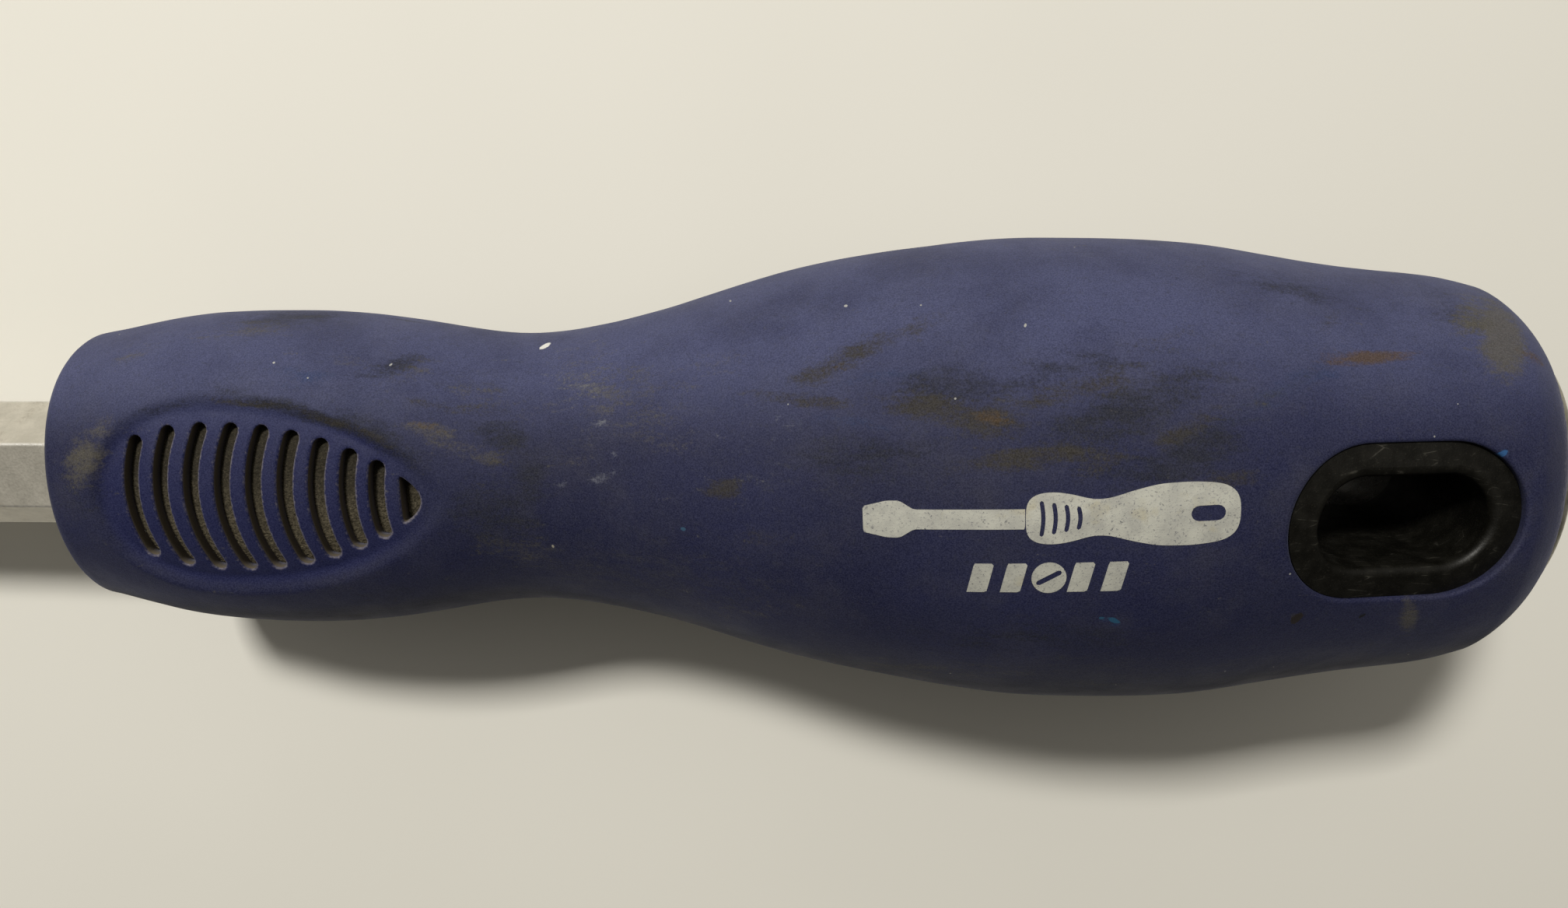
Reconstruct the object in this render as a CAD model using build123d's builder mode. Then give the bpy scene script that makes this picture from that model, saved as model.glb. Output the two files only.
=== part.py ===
"""Heavy fixed-blade screwdriver for demolition and carpentry work.

A hexagonal steel blade is moulded into a hard inner core, then into a hard handle body with a hanging slot.
A soft grip covers the body, and a steel cap at the butt takes hammer blows.

Frame, in millimetres: the origin is the centre of the blade's end face, +X runs along the tool to the butt,
and +Z runs along the hanging slot. Stations are distances from the front of the handle.
"""

import os

from build123d import *

# Blade
shank_length = 203.0  # end of the tip to the front of the handle
hex_across_flats = 9.5
tip_width = 9.5
tip_thickness = 1.5
flare_width = 12.5  # widest place of the forged tip
flare_at = 16.0
flare_thickness = 3.4
flare_end = 32.0
ground_length = 36.0  # the faces taper from the hexagon to the tip over this length
tang_across_flats = 9.0
tang_length = 82.0
tang_chamfer = 1.0
wing_width = 13.0
wing_thickness = 6.0
wing_length = 7.0
wing_stations = (20.0, 66.0)

# Grip outline: stations and radii of the swelling at the blade, the neck and the large palm swelling
grip_length = 118.0
front_face_radius = 8.8
grip_outline = (
    (3.0, 11.7),
    (10.0, 13.0),
    (17.5, 13.5),
    (25.0, 13.2),
    (37.5, 11.4),
    (48.0, 12.7),
    (60.0, 16.1),
    (70.0, 18.0),
    (82.0, 19.1),
    (93.0, 18.6),
    (103.0, 16.9),
    (109.0, 15.9),
    (114.5, 14.6),
)
butt_edge_radius = 11.0
grip_wall = 2.0  # the soft grip over the handle body
grip_front_wall = 2.4

# Thumb recess and its windows, on both faces
recess_start = 5.8
recess_end = 33.7
recess_half_width = 7.9
recess_widest_at = 16.5
recess_depth = 0.9
window_width = 1.2
first_window_at = 9.4  # station of the first window's two ends
window_pitch = 2.72
pitch_loss = 0.04  # the pitch shrinks towards the neck
window_bow = 0.75  # how far each window's middle lies nearer the blade than its ends
window_half_lengths = (4.3, 5.1, 5.35, 5.35, 5.2, 4.8, 4.2, 3.4, 2.5)
half_moon_at = 30.3
half_moon_half_length = 1.9
half_moon_bulge = 1.5

# Hanging slot, and the ring of the handle body that shows round it
slot_station = 104.6
hole_length = 13.0
hole_width = 6.8
hole_draft = 1.0  # degrees per side, from each mouth to the parting line
hole_lip = 0.6  # radius of the mouths' rounded edges
hole_mouth = 18.0  # height at which the slot has its full size
ring_length = 17.4
ring_width = 11.4
ring_depth = 0.25  # the ring lies this far below the grip's surface

# Inner core: stations and radii, and its locking ribs
core_outline = (
    (8.0, 8.2),
    (28.0, 8.2),
    (34.0, 7.4),
    (41.0, 7.4),
    (50.0, 8.6),
    (86.0, 10.4),
)
core_ribs = ((13.0, 9.4), (23.0, 9.3), (52.0, 10.2), (62.0, 11.8), (72.0, 12.8))
core_rib_length = 2.5

# Strike cap
cap_radius = 11.0
cap_seat = 115.6  # station of the face that it rests on
cap_proud = 1.1  # how far its rim stands out behind the grip
cap_dome = 0.7  # height of the flat striking face above the rim
cap_edge = 0.8  # radius of its rounded rim
cap_face_radius = 7.5
cap_neck_radius = 4.5
cap_neck_station = 113.8
cap_flange_radius = 6.5
cap_flange_station = 112.6

reach = 40.0  # longer than anything cut across the handle
hex_radius = hex_across_flats / 2
tang_radius = tang_across_flats / 2
front = shank_length
butt = front + grip_length
slot_centre = (front + slot_station, 0)

os.makedirs("parts", exist_ok=True)


def outline(wall=0.0):
    """Points along the grip's outline, moved towards the axis by a wall thickness."""
    return [(front + station, radius - wall) for station, radius in grip_outline]


def revolved_outline(wall):
    """The handle's round form, its outline moved in by a wall thickness."""
    points = outline(wall)
    with BuildPart() as form:
        with BuildSketch(Plane.XZ):
            with BuildLine():
                Line((front, 0), (front, front_face_radius))
                Line((front, front_face_radius), points[0])
                Spline(*points)
                Line(points[-1], (points[-1][0], 0))
                Line((points[-1][0], 0), (front, 0))
            make_face()
        revolve(axis=Axis.X)
    return form.part


# Blade: the ground tip with its forged flare, the hexagonal shank, and the tang with its coined wings

with BuildPart() as tip_flare:
    with BuildSketch(Plane.XY):
        with BuildLine():
            Line((0, 0), (0, tip_width / 2))
            Spline(
                (0, tip_width / 2),
                (flare_at, flare_width / 2),
                (flare_end, hex_radius),
                tangents=((1, 0.15), (1, -0.1)),
            )
            Polyline((flare_end, hex_radius), (flare_end, 0), (0, 0))
        make_face()
        mirror(about=Plane.XZ)
    extrude(amount=flare_thickness / 2, both=True)

with BuildPart() as blade:
    with BuildSketch(Plane.YZ):
        RegularPolygon(hex_radius, 6, major_radius=False)
    extrude(amount=shank_length)
    add(tip_flare.part)
    with BuildSketch(Plane.XZ):
        with BuildLine():
            Line((0, 0), (0, tip_thickness / 2))
            Spline(
                (0, tip_thickness / 2),
                (flare_at, flare_thickness / 2),
                (ground_length, hex_radius),
                tangents=((1, 0.05), (1, 0.2)),
            )
            Line((ground_length, hex_radius), (shank_length, hex_radius))
            Line((shank_length, hex_radius), (shank_length, 0))
            Line((shank_length, 0), (0, 0))
        make_face()
        mirror(about=Plane.XZ)
    extrude(amount=reach, both=True, mode=Mode.INTERSECT)
    with BuildSketch(Plane.YZ.offset(shank_length)):
        RegularPolygon(tang_radius, 6, major_radius=False)
    extrude(amount=tang_length)
    chamfer(blade.faces().sort_by(Axis.X)[-1].edges(), tang_chamfer)
    for station in wing_stations:
        with BuildSketch(Plane.YZ.offset(front + station - wing_length / 2)):
            Rectangle(wing_width, wing_thickness)
        extrude(amount=wing_length)
blade.part.label = "blade"

# Inner core: the first plastic, moulded round the tang

with BuildPart() as inner_core:
    with BuildSketch(Plane.XZ):
        with BuildLine():
            Polyline(
                (front + core_outline[0][0], 0),
                *[(front + station, radius) for station, radius in core_outline],
                (front + core_outline[-1][0], 0),
                close=True,
            )
        make_face()
    revolve(axis=Axis.X)
    for station, radius in core_ribs:
        with BuildSketch(Plane.YZ.offset(front + station)):
            Circle(radius)
        extrude(amount=core_rib_length)
    core_form = inner_core.part
    add(blade.part, mode=Mode.SUBTRACT)
inner_core.part.label = "inner_core"

# Strike cap: a flat face with a rounded edge, and behind it a neck and a flange that the handle body holds

with BuildPart() as strike_cap:
    with BuildSketch(Plane.XZ):
        with BuildLine():
            Polyline(
                (front + cap_flange_station, 0),
                (front + cap_flange_station, cap_flange_radius),
                (front + cap_neck_station, cap_flange_radius),
                (front + cap_neck_station, cap_neck_radius),
                (front + cap_seat, cap_neck_radius),
                (front + cap_seat, cap_radius),
                (butt + cap_proud - cap_edge, cap_radius),
            )
            ThreePointArc(
                (butt + cap_proud - cap_edge, cap_radius),
                (butt + cap_proud - 0.3 * cap_edge, cap_radius - 0.3 * cap_edge),
                (butt + cap_proud, cap_radius - cap_edge),
            )
            Polyline(
                (butt + cap_proud, cap_radius - cap_edge),
                (butt + cap_proud + cap_dome, cap_face_radius),
                (butt + cap_proud + cap_dome, 0),
                (front + cap_flange_station, 0),
            )
        make_face()
    revolve(axis=Axis.X)
strike_cap.part.label = "strike_cap"

# Handle body: follows the grip's outline inside it, with two raised rings round the hanging slot

with BuildPart() as rings:
    with BuildSketch(Plane.XY):
        with Locations(slot_centre):
            SlotOverall(ring_length, ring_width)
    extrude(amount=reach, both=True)
    add(revolved_outline(ring_depth), mode=Mode.INTERSECT)

body_points = outline(grip_wall)
with BuildPart() as body_form:
    with BuildSketch(Plane.XZ):
        with BuildLine():
            Polyline(
                (front + grip_front_wall, 0),
                (front + grip_front_wall, front_face_radius - 0.5),
                body_points[0],
            )
            Spline(*body_points)
            Polyline(
                body_points[-1],
                (front + cap_seat, cap_radius),
                (front + cap_seat, 0),
                (front + grip_front_wall, 0),
            )
        make_face()
    revolve(axis=Axis.X)
    add(rings.part)

with BuildPart() as handle_body:
    add(body_form.part)
    for side in (1, -1):
        with BuildSketch(Plane.XY.offset(side * hole_mouth)):
            with Locations(slot_centre):
                SlotOverall(hole_length, hole_width)
        extrude(amount=-side * hole_mouth, taper=hole_draft, mode=Mode.SUBTRACT)
    mouth_edges = handle_body.edges().filter_by(
        lambda edge: abs(edge.center().Z) > hole_mouth / 2
        and abs(edge.center().Y) < hole_width / 2 + hole_lip
        and abs(edge.center().X - slot_centre[0]) < hole_length / 2 + hole_lip
        and edge.bounding_box().size.Z < hole_mouth / 2
    )
    fillet(mouth_edges, hole_lip)
    add(core_form, mode=Mode.SUBTRACT)
    add(blade.part, mode=Mode.SUBTRACT)
    add(strike_cap.part, mode=Mode.SUBTRACT)
handle_body.part.label = "handle_body"

# Grip: the soft skin over the body, with its thumb recesses, their curved windows and the opening round each ring

with BuildPart() as recess:
    with BuildSketch(Plane.XY):
        with BuildLine():
            Spline(
                (front + recess_start, 0),
                (front + recess_widest_at, recess_half_width),
                (front + recess_end, 0),
                tangents=((0, 1), (1, -1.4)),
            )
            Line((front + recess_end, 0), (front + recess_start, 0))
        make_face()
        mirror(about=Plane.XZ)
    extrude(amount=reach, both=True)
    add(revolved_outline(recess_depth), mode=Mode.SUBTRACT)

window_arcs = []
for index, half_length in enumerate(window_half_lengths):
    ends = front + first_window_at + index * window_pitch - index**2 * pitch_loss
    middle = ends - window_bow * (half_length / max(window_half_lengths)) ** 2
    window_arcs.append(ThreePointArc((ends, -half_length), (middle, 0), (ends, half_length)))

with BuildPart() as grip:
    with BuildSketch(Plane.XZ):
        with BuildLine():
            skin_points = outline()
            Line((front, 0), (front, front_face_radius))
            corner = TangentArc((front, front_face_radius), skin_points[0], tangent=(0, 1))
            skin = Spline(*skin_points, tangents=(corner % 1, (1, -0.2)))
            Spline(skin_points[-1], (butt, butt_edge_radius), tangents=(skin % 1, (0, -1)))
            Line((butt, butt_edge_radius), (butt, 0))
            Line((butt, 0), (front, 0))
        make_face()
    revolve(axis=Axis.X)
    add(recess.part, mode=Mode.SUBTRACT)
    with BuildSketch(Plane.XY):
        for arc in window_arcs:
            SlotArc(arc, window_width)
        with BuildLine():
            ThreePointArc(
                (front + half_moon_at, -half_moon_half_length),
                (front + half_moon_at + half_moon_bulge, 0),
                (front + half_moon_at, half_moon_half_length),
            )
            Line((front + half_moon_at, half_moon_half_length), (front + half_moon_at, -half_moon_half_length))
        make_face()
    extrude(amount=reach, both=True, mode=Mode.SUBTRACT)
    with BuildSketch(Plane.XY):
        with Locations(slot_centre):
            SlotOverall(ring_length, ring_width)
    extrude(amount=reach, both=True, mode=Mode.SUBTRACT)
    add(body_form.part, mode=Mode.SUBTRACT)
    add(strike_cap.part, mode=Mode.SUBTRACT)
    add(blade.part, mode=Mode.SUBTRACT)
grip.part.label = "grip"

for piece in (blade, inner_core, handle_body, grip, strike_cap):
    export_step(piece.part, f"parts/{piece.part.label}.step")
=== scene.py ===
"""The look of a heavy fixed-blade screwdriver.

This makes its grip skin, its printed mark, the materials, the floor, the light and the camera.

The frame is the CAD model's: +X runs from the tip to the butt, and +Z along the hanging slot.
The grip is worked out in millimetres, with stations measured from the handle's front, and then scaled.
"""

import math

import bpy
import numpy as np
from mathutils import Matrix, Vector, noise
from mathutils.geometry import delaunay_2d_cdt


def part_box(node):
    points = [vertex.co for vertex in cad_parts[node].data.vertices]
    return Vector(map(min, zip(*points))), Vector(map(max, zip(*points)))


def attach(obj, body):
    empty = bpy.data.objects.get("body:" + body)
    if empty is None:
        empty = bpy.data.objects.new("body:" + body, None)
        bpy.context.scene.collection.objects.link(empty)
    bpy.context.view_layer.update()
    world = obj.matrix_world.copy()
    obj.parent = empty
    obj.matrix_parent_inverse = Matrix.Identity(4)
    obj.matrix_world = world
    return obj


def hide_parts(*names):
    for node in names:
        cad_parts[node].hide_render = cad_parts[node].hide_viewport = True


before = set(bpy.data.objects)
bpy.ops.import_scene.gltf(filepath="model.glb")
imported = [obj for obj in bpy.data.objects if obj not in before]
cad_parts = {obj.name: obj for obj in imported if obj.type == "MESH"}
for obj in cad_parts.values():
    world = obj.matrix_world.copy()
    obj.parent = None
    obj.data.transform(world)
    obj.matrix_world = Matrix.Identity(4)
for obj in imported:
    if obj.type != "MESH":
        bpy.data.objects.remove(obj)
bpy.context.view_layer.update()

MM = 0.001
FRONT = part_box("grip")[0].x / MM

# Camera

CAMERA_STATION = 64.8
CAMERA_Y = 24.0
CAMERA_Z = 100.1
AIM_STATION = 59.47
AIM_Y = -7.0
CAMERA_ROLL = 0.0063
LENS = 27.5
SHIFT_Y = 0.058

scene = bpy.context.scene
scene.view_settings.view_transform = "Standard"
eye = Vector((FRONT + CAMERA_STATION, CAMERA_Y, CAMERA_Z)) * MM
aim = Vector((FRONT + AIM_STATION, AIM_Y, 0)) * MM
back = (eye - aim).normalized()
right = Vector((CAMERA_ROLL, 1, 0)).cross(back).normalized()
upward = back.cross(right)
camera_data = bpy.data.cameras.new("camera")
camera_data.lens = LENS
camera_data.sensor_width = 36
camera_data.shift_y = SHIFT_Y
camera_data.clip_start = 0.005
camera = bpy.data.objects.new("camera", camera_data)
camera.matrix_world = Matrix.Translation(eye) @ Matrix((right, upward, back)).transposed().to_4x4()
scene.collection.objects.link(camera)
scene.camera = camera

# Floor and light

PALM_STATION = 84.0
PALM_RADIUS = 19.12
TIP_REST = (36.0, 4.75)
FLOOR_GAP = 0.02
FLOOR_SIZE = 3.0
WORLD_BRIGHT_SIDE = (-0.15, 0.9, 0.3)
WORLD_GLOW = (-0.1, 1.0, 0.045, 0.5)
WORLD_COLOUR = (1.0, 0.95, 0.85, 1)
KEY_PLACE = (0.14, 0.35, 0.48)
KEY_TARGET = (0.26, 0, 0)
KEY_SIZE = (0.09, 0.07)
KEY_POWER = 3.5
KEY_COLOUR = (1.0, 0.97, 0.90)


def new_object(name, vertices, faces):
    """A mesh object with smooth faces, in metres from millimetres."""
    mesh = bpy.data.meshes.new(name)
    mesh.from_pydata([tuple(v) for v in np.asarray(vertices) * MM], [], [list(f) for f in faces])
    mesh.validate()
    mesh.shade_smooth()
    thing = bpy.data.objects.new(name, mesh)
    scene.collection.objects.link(thing)
    return thing


def make_floor():
    """The plane under the tool, which lies on its palm swelling and on the start of its ground tip."""
    palm_x = FRONT + PALM_STATION
    lean = math.atan2(PALM_RADIUS - TIP_REST[1], palm_x - TIP_REST[0])
    half = FLOOR_SIZE / 2 / MM
    height = -(PALM_RADIUS + FLOOR_GAP) / math.cos(lean)
    corners = []
    for dx, dy in ((-half, -half), (half, -half), (half, half), (-half, half)):
        corners.append((palm_x + dx, dy, height - math.tan(lean) * (dx + PALM_RADIUS * math.sin(lean))))
    floor = new_object("floor", corners, [(0, 1, 2, 3)])
    return floor


def area_light(name, location, target, size, power, colour):
    """A rectangular soft light that looks at the target."""
    data = bpy.data.lights.new(name, "AREA")
    data.shape = "RECTANGLE"
    data.size, data.size_y = size
    data.energy = power
    data.color = colour
    lamp = bpy.data.objects.new(name, data)
    lamp.location = location
    lamp.rotation_euler = (Vector(target) - Vector(location)).to_track_quat("-Z", "Y").to_euler()
    scene.collection.objects.link(lamp)


def studio_world():
    """Soft surroundings: bright beyond the tool's +Y side, dark on the other."""
    world = bpy.data.worlds.new("studio")
    world.use_nodes = True
    tree = world.node_tree
    direction = tree.nodes.new("ShaderNodeTexCoord").outputs["Generated"]
    toward = tree.nodes.new("ShaderNodeVectorMath")
    toward.operation = "DOT_PRODUCT"
    tree.links.new(direction, toward.inputs[0])
    toward.inputs[1].default_value = WORLD_BRIGHT_SIDE
    glow = tree.nodes.new("ShaderNodeMapRange")
    glow.interpolation_type = "SMOOTHSTEP"
    tree.links.new(toward.outputs["Value"], glow.inputs["Value"])
    for name, value in zip(("From Min", "From Max", "To Min", "To Max"), WORLD_GLOW):
        glow.inputs[name].default_value = value
    background = tree.nodes["Background"]
    background.inputs["Color"].default_value = WORLD_COLOUR
    tree.links.new(glow.outputs["Result"], background.inputs["Strength"])
    scene.world = world


floor = make_floor()
studio_world()
area_light("key", KEY_PLACE, KEY_TARGET, KEY_SIZE, KEY_POWER, KEY_COLOUR)

# Grip surface, in millimetres

OUTLINE = (
    (3.0, 11.72),
    (6.5, 12.5),
    (11.0, 13.2),
    (17.0, 13.5),
    (24.0, 13.25),
    (30.0, 12.45),
    (35.0, 11.65),
    (39.0, 11.4),
    (45.0, 12.1),
    (51.0, 13.5),
    (57.0, 15.3),
    (63.0, 16.8),
    (70.0, 18.0),
    (78.0, 18.93),
    (85.0, 19.03),
    (93.0, 18.6),
    (99.0, 17.6),
    (104.0, 16.8),
    (109.0, 16.2),
    (112.0, 15.75),
    (114.4, 15.1),
)
CORNER_TOP = (1.49, 11.42)
CORNER_SIZE = (2.5, 2.98)
CORNER_TURN = 1.154
RECEDE = 0.8
RECEDE_END = 5.5
FRONT_RADIUS = 8.7
BUTT_RADIUS = 11.0
BUTT = 118.0
CAP_SEAT = 115.6
WALL = 2.1
FRONT_WALL = 2.4
INNER_FRONT = (3.0, 8.3)
INNER_END = (115.3, 11.15)
HEX_HOLE = 4.95
DRIFT = ((0, 0), (20, -0.24), (40, 0), (60, 0.36), (80, -0.02), (100, -0.12), (118, 0.15))
RECESS = (
    (5.8, 0.0),
    (5.95, 1.5),
    (6.4, 2.8),
    (7.3, 4.7),
    (8.7, 6.1),
    (11.2, 7.4),
    (13.4, 7.85),
    (16.3, 7.95),
    (19.8, 7.7),
    (24.0, 6.9),
    (27.2, 5.7),
    (30.5, 3.9),
    (32.8, 1.85),
    (33.5, 0.8),
    (33.7, 0.0),
)
RECESS_DEPTH = 0.9
RIM_OUT = 0.4
RIM_IN = 0.85
FADE_START = 25.0
FADE_LENGTH = 9.0
FADE = 0.7
WINDOW_WIDTH = 1.2
FIRST_WINDOW = 9.4
WINDOW_PITCH = 2.72
PITCH_LOSS = 0.04
WINDOW_BOW = 0.75
HALF_LENGTHS = (4.3, 5.1, 5.35, 5.35, 5.2, 4.8, 4.2, 3.4, 2.5)
MOON_AT = 30.3
MOON_HALF = 1.9
MOON_BULGE = 1.5
SLOT_STATION = 104.6
RING_LENGTH = 17.4
RING_WIDTH = 11.4
RING_CLEARANCE = 0.05
SLOW_WAVES = ((0.035, 7.0), (0.02, 2.6))


def cubic(points):
    """A smooth curve y(x) through the points: a natural cubic spline."""
    x = np.array([p[0] for p in points], float)
    y = np.array([p[1] for p in points], float)
    h = np.diff(x)
    size = len(x)
    system = np.eye(size)
    rhs = np.zeros(size)
    for i in range(1, size - 1):
        system[i, i - 1 : i + 2] = h[i - 1], 2 * (h[i - 1] + h[i]), h[i]
        rhs[i] = 6 * ((y[i + 1] - y[i]) / h[i] - (y[i] - y[i - 1]) / h[i - 1])
    m = np.linalg.solve(system, rhs)

    def value(at):
        at = np.asarray(at, float)
        i = np.clip(np.searchsorted(x, at) - 1, 0, size - 2)
        a, b = x[i + 1] - at, at - x[i]
        return (
            m[i] * a**3 / (6 * h[i])
            + m[i + 1] * b**3 / (6 * h[i])
            + (y[i] / h[i] - m[i] * h[i] / 6) * a
            + (y[i + 1] / h[i] - m[i + 1] * h[i] / 6) * b
        )

    return value


radius_at = cubic((CORNER_TOP,) + OUTLINE)
drift_at = cubic(DRIFT)


def smooth(value):
    """A soft step from 0 to 1."""
    value = np.clip(value, 0, 1)
    return value * value * (3 - 2 * value)


def even(start, end, spacing):
    """Evenly spaced values from start to end, about this far apart."""
    return np.linspace(start, end, max(2, round((end - start) / spacing) + 1))


def signed_distance(points, loop):
    """Distance of each point to a closed loop, positive inside it."""
    points = np.asarray(points, float)
    start, end = loop, np.roll(loop, -1, axis=0)
    side = end - start
    near = np.full(len(points), 1e9)
    inside = np.zeros(len(points), bool)
    for a, b, d in zip(start, end, side):
        t = np.clip(((points - a) @ d) / max(d @ d, 1e-12), 0, 1)
        near = np.minimum(near, np.hypot(*(points - a - t[:, None] * d).T))
        if a[1] != b[1]:
            crosses = (a[1] > points[:, 1]) != (b[1] > points[:, 1])
            at = a[0] + (points[:, 1] - a[1]) * d[0] / d[1]
            inside ^= crosses & (points[:, 0] < at)
    return np.where(inside, near, -near)


def resampled(loop, spacing):
    """A closed loop with evenly spaced points."""
    closed = np.vstack([loop, loop[:1]])
    along = np.concatenate([[0], np.cumsum(np.hypot(*np.diff(closed, axis=0).T))])
    count = max(12, round(along[-1] / spacing))
    at = np.arange(count) * along[-1] / count
    return np.column_stack([np.interp(at, along, closed[:, 0]), np.interp(at, along, closed[:, 1])])


def rounded(loop, passes):
    """A closed loop with its corners smoothed away."""
    for _ in range(passes):
        loop = (np.roll(loop, 1, axis=0) + 2 * loop + np.roll(loop, -1, axis=0)) / 4
    return loop


def offset(loop, distance):
    """A smooth anticlockwise loop moved outwards."""
    ahead = np.roll(loop, -1, axis=0) - np.roll(loop, 1, axis=0)
    ahead /= np.hypot(*ahead.T)[:, None]
    return loop + distance * np.column_stack([ahead[:, 1], -ahead[:, 0]])


def recess_outline():
    """The thumb recess's rim, from its upper half and that half's mirror image."""
    upper = np.array(RECESS)
    lower = upper[1:-1][::-1] * (1, -1)
    return rounded(resampled(np.vstack([upper[::-1], lower[::-1]]), 0.35), 6)


def capsule(middle, half_width, cap_steps=10):
    """An anticlockwise slot round an open centreline, with round ends."""
    ahead = np.gradient(middle, axis=0)
    ahead /= np.hypot(*ahead.T)[:, None]
    normal = np.column_stack([ahead[:, 1], -ahead[:, 0]])
    right_side = middle + half_width * normal
    left_side = (middle - half_width * normal)[::-1]
    turn = np.linspace(0, math.pi, cap_steps + 2)[1:-1, None]
    end = middle[-1] + half_width * (np.cos(turn) * normal[-1] + np.sin(turn) * ahead[-1])
    start = middle[0] + half_width * (-np.cos(turn) * normal[0] - np.sin(turn) * ahead[0])
    return np.vstack([right_side, end, left_side, start])


def window_loops():
    """Outlines of the recess's windows and of its half moon."""
    loops = []
    longest = max(HALF_LENGTHS)
    for index, half in enumerate(HALF_LENGTHS):
        ends = FIRST_WINDOW + index * WINDOW_PITCH - index**2 * PITCH_LOSS
        bow = WINDOW_BOW * (half / longest) ** 2
        y = np.linspace(-half, half, 25)
        middle = np.column_stack([ends - bow * (1 - (y / half) ** 2), y])
        loops.append(resampled(capsule(middle, WINDOW_WIDTH / 2), 0.28))
    y = np.linspace(-MOON_HALF, MOON_HALF, 21)
    arc = np.column_stack([MOON_AT + MOON_BULGE * (1 - (y / MOON_HALF) ** 2), y])
    flat = np.column_stack([np.full(len(y) - 2, MOON_AT), y[1:-1][::-1]])
    loops.append(rounded(resampled(np.vstack([arc, flat]), 0.2), 2))
    return loops


def ring_loop():
    """The outline of the black ring round the hanging slot."""
    half = (RING_LENGTH - RING_WIDTH) / 2
    x = np.linspace(SLOT_STATION - half, SLOT_STATION + half, 15)
    return resampled(capsule(np.column_stack([x, np.zeros(len(x))]), RING_WIDTH / 2, 24), 0.4)


RECESS_LOOP = recess_outline()


def sink(station, y):
    """How deep the recess is at a place on the unsunk surface."""
    depth = np.zeros(len(station))
    near = (station > 3) & (station < 37) & (np.abs(y) < 11)
    if near.any():
        gap = signed_distance(np.column_stack([station[near], y[near]]), RECESS_LOOP)
        depth[near] = RECESS_DEPTH * smooth((gap + RIM_OUT) / (RIM_OUT + RIM_IN))
        depth[near] *= 1 - FADE * smooth((station[near] - FADE_START) / FADE_LENGTH)
    return depth


def unevenness(station, angle, radius):
    """Small slow waves of the moulded rubber."""
    waves = np.empty(len(station))
    for i, (s, a, r) in enumerate(zip(station, angle, radius)):
        place = Vector((s, r * math.sin(a), r * math.cos(a)))
        waves[i] = sum(height * noise.noise(place / size) for height, size in SLOW_WAVES)
    return waves


def recede(station, angle, radius):
    """How far the front rim lies back at its top and underside."""
    near_front = np.clip(1 - np.asarray(station) / RECEDE_END, 0, 1) ** 1.5
    return RECEDE * near_front * np.cos(angle) ** 2 * (radius / FRONT_RADIUS) ** 3


def skin(station, angle):
    """Points of the outer surface. Angle 0 is the top, and pi/2 is +Y."""
    radius = radius_at(station)
    r = radius - sink(station, radius * np.sin(angle)) + unevenness(station, angle, radius)
    y = r * np.sin(angle) + drift_at(station) * np.sin(angle) ** 2
    x = FRONT + station + recede(station, angle, FRONT_RADIUS)
    return np.column_stack([x, y, r * np.cos(angle)])


def angle_of(station, y, side):
    """The angle at which the sunk surface has this y, on the top or the underside."""
    radius = radius_at(station)
    sine = y / radius
    for _ in range(5):
        sine = y / (radius - sink(station, radius * sine))
    angle = np.arcsin(np.clip(sine, -1, 1))
    return angle if side > 0 else math.pi - angle


class Shell:
    """Vertices and faces of one closed mesh, and how worn or dusty some of the vertices are."""

    def __init__(self):
        self.points = []
        self.faces = []
        self.worn = {}
        self.dusty = {}

    def add(self, points):
        start = len(self.points)
        self.points.extend(np.asarray(points).tolist())
        return np.arange(start, len(self.points))

    def quads(self, grid, skip=None, inward=False):
        """Faces between neighbouring rows of vertices, which go all the way round."""
        rows, columns = grid.shape
        for i in range(rows - 1):
            for j in range(columns):
                if skip is not None and skip[i, j]:
                    continue
                k = (j + 1) % columns
                face = (grid[i, j], grid[i + 1, j], grid[i + 1, k], grid[i, k])
                self.faces.append(face[::-1] if inward else face)

    def patch(self, places, labels, rim, holes, inward=False):
        """Triangles between a rim and some holes.

        The rim and the holes are lists of indices into places, which are the flat coordinates
        of the labelled vertices.
        """
        edges = list(zip(rim, rim[1:] + rim[:1]))
        for hole in holes:
            edges += list(zip(hole, hole[1:] + hole[:1]))
        flat = [Vector(p) for p in places]
        found = delaunay_2d_cdt(flat, edges, [], 0, 1e-7, True)
        corners = np.array([tuple(v) for v in found[0]])
        source = [labels[origins[0]] for origins in found[3]]
        triangles = [tuple(t) for t in found[2]]
        centres = np.array([corners[list(t)].mean(axis=0) for t in triangles])
        keep = np.ones(len(triangles), bool)
        for hole in holes:
            keep &= signed_distance(centres, np.array([places[i] for i in hole])) < 0
        for good, t in zip(keep, triangles):
            if good:
                face = tuple(source[i] for i in t)
                self.faces.append(face[::-1] if inward else face)


def lip(loop, side, radius, steps):
    """Rows of points round a hole's rounded lip and down its wall to the inner surface."""
    rows = []
    for step in range(steps + 1):
        turn = math.pi / 2 * step / steps
        ring = offset(loop, radius * (1 - math.sin(turn)))
        angle = angle_of(ring[:, 0], ring[:, 1], side)
        points = skin(ring[:, 0], angle)
        points[:, 2] -= side * radius * (1 - math.cos(turn))
        rows.append(points)
    bottom_radius = radius_at(loop[:, 0]) - WALL
    y = rows[-1][:, 1]
    z = side * np.sqrt(bottom_radius**2 - y**2)
    rows.append(np.column_stack([FRONT + loop[:, 0], y, z]))
    return rows


FINE = math.radians(48)
top_angles = np.linspace(-FINE, FINE, 77)
side_angles = np.linspace(FINE, math.pi - FINE, 27)[1:-1]
ANGLES = np.concatenate([top_angles, side_angles, top_angles + math.pi, side_angles + math.pi])

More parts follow.
